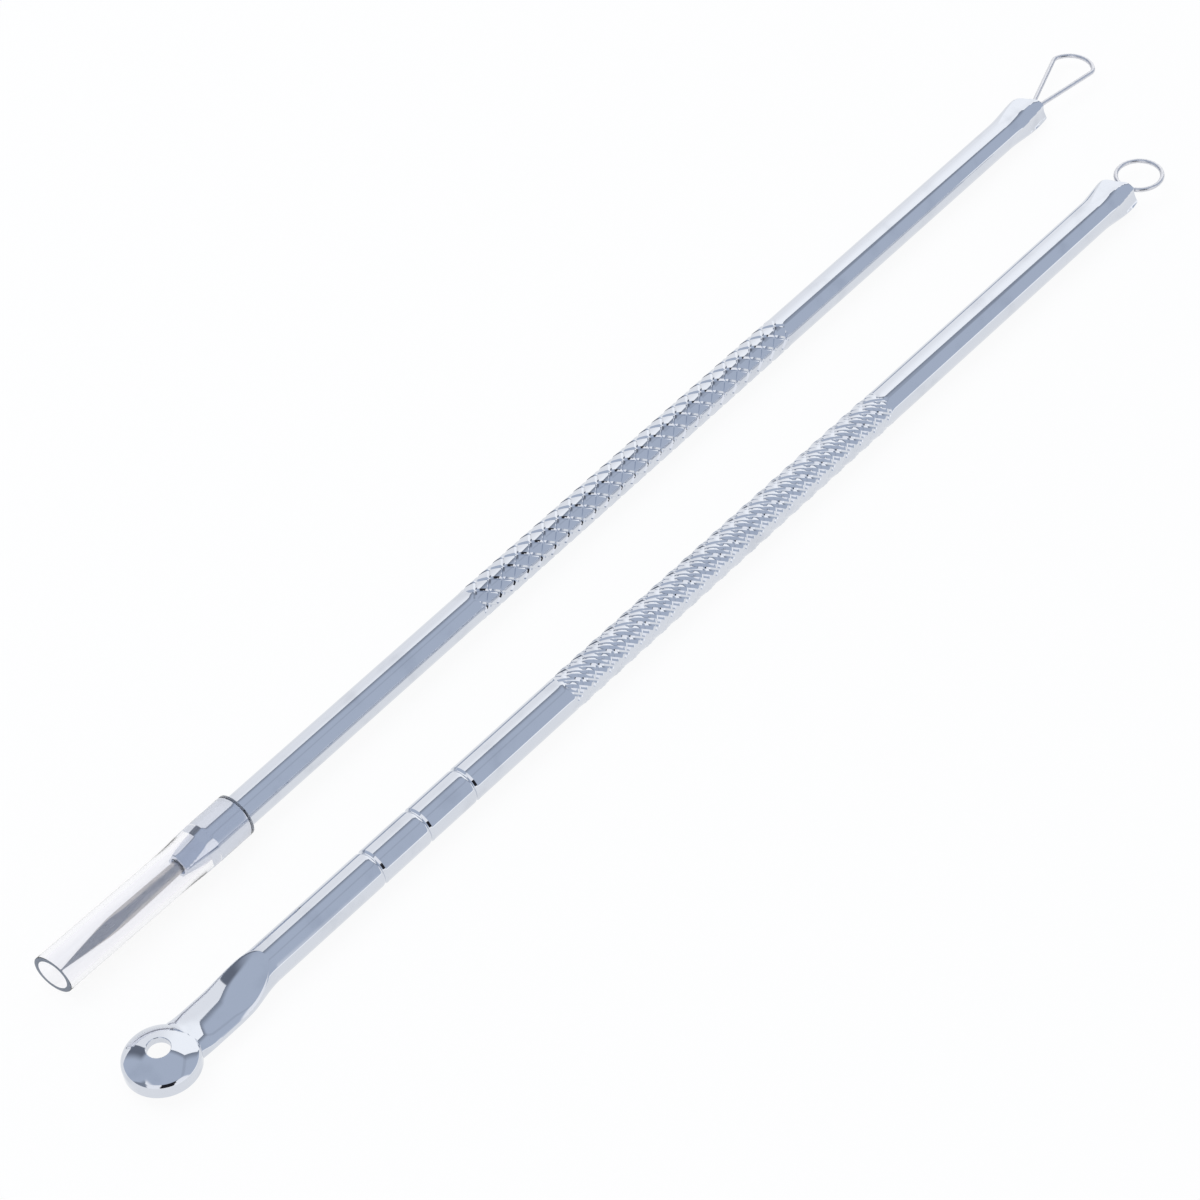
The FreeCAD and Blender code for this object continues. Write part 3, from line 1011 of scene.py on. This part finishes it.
def neckRadius(x, angles):
    # The rod pressed from above by a die with a slightly hollow face: its top drops and its sides bulge
    radius = spoonKnurl["Rod radius"]
    across = radius + (spoon["neckHalf"] - radius) * neckBulge(x)
    drop = spoon["ovalDrop"] * eased((spoon["dropStart"] - x) / (spoon["dropStart"] - spoon["foot"]))
    # Next to the cup the top runs up to the dome in a fillet
    fillet = np.clip((spoon["filletStart"] - x) / (spoon["filletStart"] - spoon["filletEnd"]), 0, 1)
    rise = spoon["filletRise"] * fillet ** 2
    upright = radius - drop + rise / 2
    centre = rise / 2 - drop
    up, side = np.cos(angles), np.sin(angles)
    a = (side / across) ** 2 + (up / upright) ** 2
    b = up * centre / upright ** 2
    oval = (b + np.sqrt(b ** 2 - a * ((centre / upright) ** 2 - 1))) / a
    share = np.clip((spoon["shoulder"] - x) / (spoon["shoulder"] - spoon["foot"]), 0, 1)
    height = radius - (radius - spoon["footHeight"]) * np.sin(math.pi / 2 * share)
    height = height + spoon["flatRise"] * np.maximum(0, 1 - x / spoon["foot"]) ** 2 + rise
    die = 2 * height / (up + np.sqrt(up ** 2 + 2 * height * side ** 2 / spoon["dieCrown"]) + 1e-9)
    soft = spoon["edgeCrisp"] + (spoon["edgeSoft"] - spoon["edgeCrisp"]) * share
    mix = np.clip(0.5 + 0.5 * (die - oval) / soft, 0, 1)
    return die + (oval - die) * mix - soft * mix * (1 - mix)


def neckRing(x, angles):
    # A little more of the neck lies on the near side
    points = around(x, neckRadius(x, angles), angles)
    points[:, 1] -= spoon["neckSide"] * neckBulge(x)
    return points


def grooveCut(x):
    near, far = spoon["grooveNear"], spoon["grooveFar"]
    for place in spoon["grooves"]:
        if place - near < x <= place:
            return spoon["grooveDepth"] * float(eased((x - place + near) / near))
        if place < x < place + far:
            return spoon["grooveDepth"] * (1 - (x - place) / far)
    return 0.0


def spoonFront():
    coarse, fine = tileAngles(spoonKnurl), roundAngles(spoonKnurl)
    rings = []
    # The neck starts inside the cup's wall, wherever that is at each height
    inside = [wallMiddle(z) ** 2 - y ** 2 for x, y, z in neckRing(spoon["rootAt"], fine)]
    root = np.sqrt(np.maximum(inside, spoon["rootLeast"]))
    for share in np.linspace(0, 1, 16)[:-1]:
        rings.append(neckRing(root + (spoon["rootEnd"] - root) * share, fine))
    edge = spoon["shoulder"] - 1.0
    for x in np.linspace(spoon["rootEnd"], edge, 40):
        rings.append(neckRing(x, fine))
    for x in np.linspace(edge, spoon["shoulder"] + 0.3, 50)[1:]:
        rings.append(neckRing(x, fine))
    radius = spoonKnurl["Rod radius"]
    for place in spoon["grooves"]:
        near = np.linspace(place - spoon["grooveNear"], place, 12)
        for x in [near[0] - 0.2, *near, place + spoon["grooveFar"], place + spoon["grooveFar"] + 0.1]:
            rings.append(around(x, radius - grooveCut(x), fine))
    rings.append(around(spoon["frontLength"] - ringStep, radius, fine))
    rings.append(around(spoon["frontLength"], radius, coarse))
    return ringMesh("spoonFront", rings)


def united(first, second):
    # The two closed meshes as one solid
    pair = [bpy.data.objects.new("unitePart", mesh) for mesh in (first, second)]
    for part in pair:
        scene.collection.objects.link(part)
    modifier = pair[0].modifiers.new("unite", "BOOLEAN")
    modifier.operation, modifier.solver, modifier.object = "UNION", "EXACT", pair[1]
    result = bpy.data.meshes.new_from_object(pair[0].evaluated_get(bpy.context.evaluated_depsgraph_get()))
    for part in pair:
        bpy.data.objects.remove(part)
    return result


def withoutEnd(mesh, x):
    # Opens the flat end where the knurl goes on
    shape = bmesh.new()
    shape.from_mesh(mesh)
    ends = [face for face in shape.faces if all(abs(vert.co.x - x) < 0.001 for vert in face.verts)]
    bmesh.ops.delete(shape, geom=ends, context="FACES_ONLY")
    shape.to_mesh(mesh)
    shape.free()
    return mesh


spoonPlace = spoonPlacement()
spoonTip = spoon["frontLength"] + spoonKnurl["Length"] + spoon["rearLength"] + spoon["crimpLength"]
spoonHead = withoutEnd(united(spoonFront(), cupMesh()), spoon["frontLength"])
spoonRear = rearMesh("spoonRear", spoon, spoonKnurl)
spoonMeshes = [spoonHead, knurlMesh(spoonKnurl, spoon["frontLength"]), spoonRear]
finished("spoonHandle", spoonMeshes, spoonPlace, chrome, "spoon_tool", "spoon_handle")
finished("ringLoop", [loopMesh(ringPath(), spoonTip, ring)], spoonPlace, loopSteel,
         "spoon_tool", "ring_loop", 40)


# Studio: a white table and sweep ahead of the camera, a grey-blue room above and to the sides

studio = {
    "sweep": colour(1.04, 1.04, 1.05),
    "sweepBright": colour(1.24, 1.24, 1.24),
    "room": colour(0.53, 0.59, 0.70),
    "roomDark": colour(0.27, 0.30, 0.36),
    "leftDark": colour(0.17, 0.19, 0.235),
    "card": colour(0.02, 0.02, 0.025),
    "window": colour(1.1, 1.1, 1.12),
    "sweepAhead": (0.884, 0.468),
    "front": (0.767, 0.642),
    "right": (0.642, -0.767),
    "sweepSlope": 1.388,
    "sweepEdge": 0.012,
    "sweepSides": (-0.3, 0.15),
    "leftEnd": 0.84,
    "rightEnd": 1.0,
    "tableRise": (0.08, 0.06),
    "roomFade": (0.0, 0.3),
    "seamLow": 0.05,
    "seamSlope": 0.62,
    "seamHalf": (0.04, 0.09),
    "seamShare": 0.75,
    "nookStart": (-0.02, 0.02),
    "nookEnd": (0.5, 0.2),
    "nookTop": (0.75, 0.6),
    "nookFront": (0.0, 0.15),
    "waveScale": 9,
    "wave": 0.2,
    "cardSide": 0.195,
    "cardHalf": (0.3, 0.27),
    "windowHalf": (0.75, 0.81),
    "windowTop": (0.8, 0.72),
    "behind": (-0.25, -0.4),
    "paper": colour(0.9, 0.9, 0.9),
    "paperPale": colour(0.93, 0.93, 0.93),
    "paperScale": 900,
    "tableHalf": 0.6,
    "floorGlow": 0.92,
    "lampPower": 1.6,
    "lampSize": 0.5,
    "lampPlace": (-0.1, 0.25, 0.55),
}


def setWorld():
    world = bpy.data.worlds.new("studio")
    scene.world = world
    world.use_nodes = True
    world.node_tree.nodes.clear()
    graph = Graph(world.node_tree)
    place = graph.out("ShaderNodeTexCoord", {}, {}, "Generated")
    x, y, z = graph.parts(place)
    ways = [studio[name] for name in ("sweepAhead", "front", "right")]
    ahead, front, right = [x * way[0] + y * way[1] for way in ways]
    # The sweep stands ahead, with two sides and a straight top edge, and the room is darkest next to them
    left = 0 - right - front * studio["leftEnd"]
    beyond = z - ahead * studio["sweepSlope"]
    for side in (left, right - front * studio["rightEnd"]):
        beyond = graph.maths("MAXIMUM", beyond, side)
    table = graph.ramp(z, *studio["tableRise"])
    sweep = graph.maths("MAXIMUM", graph.ramp(beyond, studio["sweepEdge"], -studio["sweepEdge"]), table)
    # A faint seam runs up the room, and a dark nook is left of the sweep
    fromSeam = abs(right / graph.maths("MAXIMUM", z, studio["seamLow"]) - studio["seamSlope"])
    seam = graph.ramp(fromSeam, *studio["seamHalf"], studio["seamShare"], 1.0)
    room = graph.blend(graph.ramp(beyond, *studio["roomFade"]) * seam, studio["roomDark"], studio["room"])
    nook = graph.ramp(left, *studio["nookStart"]) * graph.ramp(left, *studio["nookEnd"])
    nook = nook * graph.ramp(z, *studio["nookTop"]) * graph.ramp(front, *studio["nookFront"])
    room = graph.blend(nook, room, studio["leftDark"])
    # Behind the camera a dark card hangs between two bright windows
    wave = (graph.noise(place, studio["waveScale"], 2) - 0.5) * studio["wave"]
    across = abs(right + wave - studio["cardSide"])
    windows = graph.blend(graph.ramp(across, *studio["windowHalf"]), studio["window"], studio["roomDark"])
    card = graph.ramp(across, *studio["cardHalf"])
    behind = graph.ramp(front, *studio["behind"]) * graph.ramp(z, *studio["windowTop"])
    room = graph.blend(behind, room, graph.blend(card, windows, studio["card"]))
    white = graph.blend(graph.ramp(right, *studio["sweepSides"]), studio["sweep"], studio["sweepBright"])
    seen = graph.blend(sweep, room, white)
    # The camera sees plain white, also through the sleeve
    ray = graph.rays()
    through = ray["Is Transmission Ray"] * (ray["Glossy Depth"] < 0.5)
    direct = graph.maths("MAXIMUM", ray["Is Camera Ray"], through)
    shown = graph.blend(direct, seen, colour(1, 1, 1))
    light = graph.out("ShaderNodeBackground", {}, {"Color": shown, "Strength": 1.0})
    graph.node("ShaderNodeOutputWorld", {}, {"Surface": light})


def tableFinish():
    material, graph, place = newFinish("whiteTable")
    speckle = graph.noise(place, studio["paperScale"], 3)
    paper = graph.out("ShaderNodeBsdfDiffuse", {}, {
        "Color": graph.blend(speckle, studio["paper"], studio["paperPale"]),
    })
    glow = graph.out("ShaderNodeEmission", {}, {"Color": colour(1, 1, 1), "Strength": 1.0})
    ray = graph.rays()
    seen = ray["Is Camera Ray"]
    for kind in ("Is Glossy Ray", "Is Transmission Ray"):
        seen = graph.maths("MAXIMUM", seen, ray[kind])
    mixed = graph.out("ShaderNodeMixShader", {}, {0: seen * studio["floorGlow"], 1: paper, 2: glow})
    graph.node("ShaderNodeOutputMaterial", {}, {"Surface": mixed})
    return material


def setStudio():
    setWorld()
    half = studio["tableHalf"]
    mesh = bpy.data.meshes.new("table")
    corners = [(-half, -half, 0), (half, -half, 0), (half, half, 0), (-half, half, 0)]
    mesh.from_pydata(corners, [], [(0, 1, 2, 3)])
    mesh.materials.append(tableFinish())
    table = bpy.data.objects.new("table", mesh)
    scene.collection.objects.link(table)
    lamp = bpy.data.objects.new("softLamp", bpy.data.lights.new("softLamp", "AREA"))
    lamp.data.energy = studio["lampPower"]
    lamp.data.size = studio["lampSize"]
    lamp.location = studio["lampPlace"]
    lamp.rotation_euler = (-Vector(studio["lampPlace"])).to_track_quat("-Z", "Y").to_euler()
    lamp.visible_glossy = False
    lamp.visible_transmission = False
    scene.collection.objects.link(lamp)
    print("studio: table, lamp, world")


setStudio()
